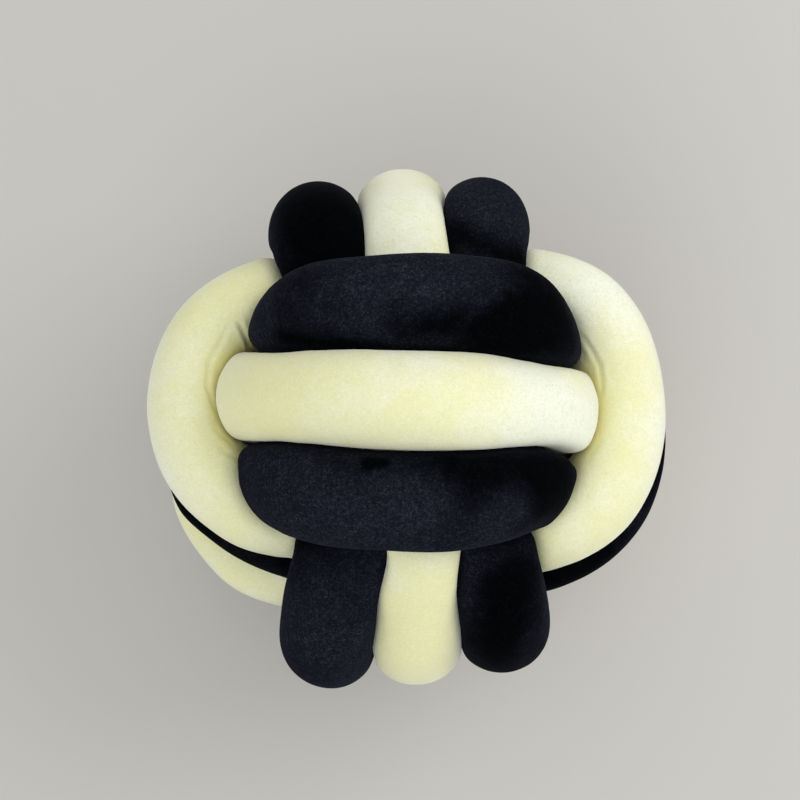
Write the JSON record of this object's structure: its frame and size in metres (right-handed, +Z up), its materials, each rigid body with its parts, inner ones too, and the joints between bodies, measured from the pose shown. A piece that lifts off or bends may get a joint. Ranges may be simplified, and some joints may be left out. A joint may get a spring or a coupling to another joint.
{
  "type": "knot cushion",
  "caption": "Ball-shaped plush knot cushion: fat stuffed velvet tubes in black and pale lemon, laced as bands that cross at right angles, to lean on or to dress a sofa.",
  "frame": {"origin": "on the surface that it rests on, under the middle of its outline", "axes": "+Z up out of the middle of the face, +X along the face's three tubes to their right end, +Y towards the top of the face"},
  "size_m": [0.2924, 0.2958, 0.2947],
  "materials": {
    "black_velvet": "short-pile plush velvet, matt black with a cool grey sheen",
    "lemon_velvet": "short-pile plush velvet, matt pale lemon with a white sheen"
  },
  "bodies": {
    "root": {"cross_near": "black_velvet", "cross_mid": "lemon_velvet", "cross_far": "black_velvet", "long_left": "black_velvet", "long_mid": "lemon_velvet", "long_right": "black_velvet", "girdle_base": "lemon_velvet", "girdle_mid": "black_velvet", "girdle_top": "lemon_velvet"}
  },
  "joints": []
}
